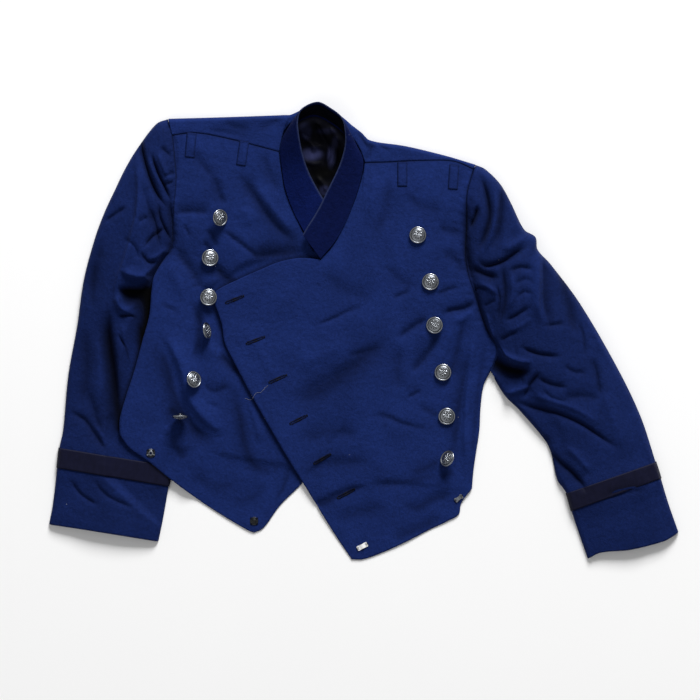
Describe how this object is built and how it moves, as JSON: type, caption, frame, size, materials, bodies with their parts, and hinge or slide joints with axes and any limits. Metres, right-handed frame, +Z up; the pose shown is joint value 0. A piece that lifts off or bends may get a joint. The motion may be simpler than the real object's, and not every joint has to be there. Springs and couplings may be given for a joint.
{
  "type": "military dress tunic, laid flat",
  "caption": "Short double-breasted dress tunic with standing collar, crossed pointed fronts, metal buttons and braided cuffs, laid flat as worn-in cloth.",
  "frame": {"origin": "middle of the laid-out tunic's outline, on the surface it lies on", "axes": "+X to the wearer's left sleeve, +Y to the collar, +Z up from the surface"},
  "size_m": [0.8494, 0.6136, 0.0415],
  "materials": {
    "navy_worsted": "matt navy worsted serge with a fine twill and light nap",
    "dark_navy_worsted": "matt dark navy worsted of the collar band",
    "black_satin": "black satin lining, soft sheen, wrinkled",
    "black_braid": "flat black ribbed mohair braid",
    "antique_silver": "antiqued silver, worn bright on the high points"
  },
  "bodies": {
    "root": {"back": "navy_worsted", "collar": "dark_navy_worsted", "collar_lining": "black_satin", "epaulet_loop_left_inner": "navy_worsted", "epaulet_loop_left_outer": "navy_worsted", "epaulet_loop_right_inner": "navy_worsted", "epaulet_loop_right_outer": "navy_worsted", "hook_bar_side": "antique_silver", "hook_bar_tip": "antique_silver", "left_button_1": "antique_silver", "left_button_2": "antique_silver", "left_button_3": "antique_silver", "left_button_4": "antique_silver", "left_button_5": "antique_silver", "left_button_6": "antique_silver", "left_cuff_braid": "black_braid", "left_front": "navy_worsted", "left_top_sleeve": "navy_worsted", "left_under_sleeve": "navy_worsted", "neck_lining": "black_satin", "right_button_1": "antique_silver", "right_button_2": "antique_silver", "right_button_3": "antique_silver", "right_button_4": "antique_silver", "right_button_5": "antique_silver", "right_button_6": "antique_silver", "right_cuff_braid": "black_braid", "right_front": "navy_worsted", "right_top_sleeve": "navy_worsted", "right_under_sleeve": "navy_worsted", "snap_socket": "antique_silver", "snap_stud": "antique_silver"}
  },
  "joints": []
}
